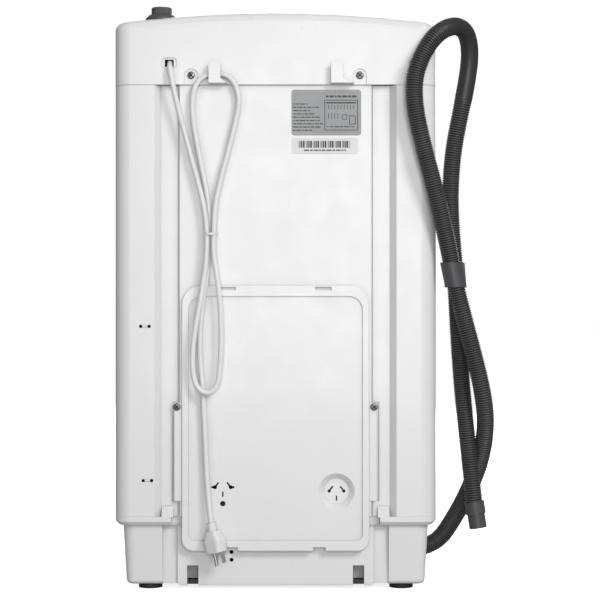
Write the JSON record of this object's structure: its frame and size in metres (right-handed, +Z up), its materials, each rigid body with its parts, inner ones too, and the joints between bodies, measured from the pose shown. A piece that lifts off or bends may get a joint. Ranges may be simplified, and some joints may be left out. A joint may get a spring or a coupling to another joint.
{
  "type": "top load washing machine",
  "caption": "Compact white top load washing machine with crowned top, rear service cover, hooked power cord and corrugated drain hose.",
  "frame": {"origin": "centre of the body's footprint, on the floor", "axes": "+Z up, -Y the front with the control panel, +Y the rear with cord and drain hose, +X the machine's side with the water inlet"},
  "size_m": [0.5108, 0.4643, 0.784],
  "materials": {
    "painted_steel": "semi-gloss enamel",
    "white_plastic": "fine satin moulding",
    "black_plastic": "matte",
    "black_rubber": "matte",
    "clear_plastic": "clear tinted",
    "steel": "bright zinc",
    "silver_plastic": "satin silver",
    "dark_window": "smoked",
    "grey_plastic": "satin",
    "hose_grey": "ribbed, satin",
    "white_vinyl": "soft satin",
    "label_grey": "satin film",
    "screw_steel": "dark zinc",
    "galvanised": "galvanised",
    "stainless": "brushed",
    "blue_plastic": "satin",
    "pale_plastic": "satin",
    "cast_alloy": "die cast",
    "motor_paint": "dark enamel",
    "button_plastic": "gloss"
  },
  "bodies": {
    "root": {"cabinet_shell": "painted_steel", "rear_panel": "painted_steel", "rear_service_cover": "white_plastic", "base_frame": "white_plastic", "bottom_plate": "black_plastic", "rubber_feet": "black_rubber", "top_cover": "white_plastic", "lid_tray": "white_plastic", "splash_collar": "white_plastic", "control_panel": "silver_plastic", "display_window": "dark_window", "control_board": "black_plastic", "lid_switch": "black_plastic", "inlet_spigot": "grey_plastic", "inlet_valve": "white_plastic", "water_spout": "white_plastic", "drain_outlet": "grey_plastic", "drain_hose": "hose_grey", "hose_clip": "grey_plastic", "hose_nozzle": "grey_plastic", "rear_hooks": "white_plastic", "cord_clamp": "black_plastic", "power_cord": "white_vinyl", "plug_body": "white_vinyl", "plug_pins": "steel", "cord_tie": "white_vinyl", "rear_labels": "label_grey", "rear_screws": "screw_steel", "suspension_rods": "steel", "suspension_brackets": "galvanised", "run_capacitor": "black_plastic", "pressure_switch": "white_plastic"},
    "lid": {"lid_frame": "white_plastic", "lid_window": "clear_plastic", "hinge_pins": "steel"},
    "tub": {"outer_tub": "white_plastic", "tub_ring": "white_plastic", "damper_cups": "white_plastic", "suspension_springs": "steel", "clutch_housing": "cast_alloy", "shaft_bearing": "steel", "motor": "motor_paint", "drive_belt": "black_rubber", "drain_valve": "white_plastic", "sump_hose": "black_rubber"},
    "basket": {"spin_basket": "stainless", "balance_ring": "white_plastic", "spin_tube": "steel", "lint_filter": "blue_plastic"},
    "wash_plate": {"pulsator": "pale_plastic", "pulsator_screw": "steel", "drive_shaft": "steel", "drive_pulley": "cast_alloy"},
    "motor_rotor": {"motor_pulley": "steel"},
    "foot": {"leveling_foot": "black_rubber"},
    "power_button": {"power_button": "button_plastic"},
    "level_button": {"level_button": "button_plastic"},
    "function_button": {"function_button": "button_plastic"},
    "program_button": {"program_button": "button_plastic"},
    "start_button": {"start_button": "button_plastic"}
  },
  "joints": [
    {"name": "lid_hinge", "type": "hinge", "parent": "root", "child": "lid", "pos_m": [0, 0.134, 0.758], "axis": [-1, 0, 0], "range_deg": [0, 92]},
    {"name": "tub_suspension", "type": "slide", "parent": "root", "child": "tub", "axis": [0, 0, 1], "range_m": [-0.015, 0.006], "stiffness_N_per_m": 16000, "springref_m": 0.01038, "deforming": ["suspension_springs", "sump_hose"]},
    {"name": "basket_spin", "type": "hinge", "parent": "tub", "child": "basket", "pos_m": [0, -0.008, 0.3], "axis": [0, 0, 1], "continuous": true},
    {"name": "wash_plate_spin", "type": "hinge", "parent": "tub", "child": "wash_plate", "pos_m": [0, -0.008, 0.2], "axis": [0, 0, 1], "continuous": true},
    {"name": "motor_spin", "type": "hinge", "parent": "tub", "child": "motor_rotor", "pos_m": [0.112, -0.008, 0.115], "axis": [0, 0, 1], "continuous": true},
    {"name": "foot_adjust", "type": "slide", "parent": "root", "child": "foot", "axis": [0, 0, -1], "range_m": [0, 0.012]},
    {"name": "power_button_press", "type": "slide", "parent": "root", "child": "power_button", "axis": [0, 0.6766, -0.7363], "range_m": [0, 0.001], "stiffness_N_per_m": 600, "springref_m": -0.0005},
    {"name": "level_button_press", "type": "slide", "parent": "root", "child": "level_button", "axis": [0, 0.6766, -0.7363], "range_m": [0, 0.001], "stiffness_N_per_m": 600, "springref_m": -0.0005},
    {"name": "function_button_press", "type": "slide", "parent": "root", "child": "function_button", "axis": [0, 0.6766, -0.7363], "range_m": [0, 0.001], "stiffness_N_per_m": 600, "springref_m": -0.0005},
    {"name": "program_button_press", "type": "slide", "parent": "root", "child": "program_button", "axis": [0, 0.6766, -0.7363], "range_m": [0, 0.001], "stiffness_N_per_m": 600, "springref_m": -0.0005},
    {"name": "start_button_press", "type": "slide", "parent": "root", "child": "start_button", "axis": [0, 0.6766, -0.7363], "range_m": [0, 0.001], "stiffness_N_per_m": 600, "springref_m": -0.0005}
  ],
  "couplings": [
    {"joint": "motor_spin", "follows": "wash_plate_spin", "ratio": 4.5}
  ]
}
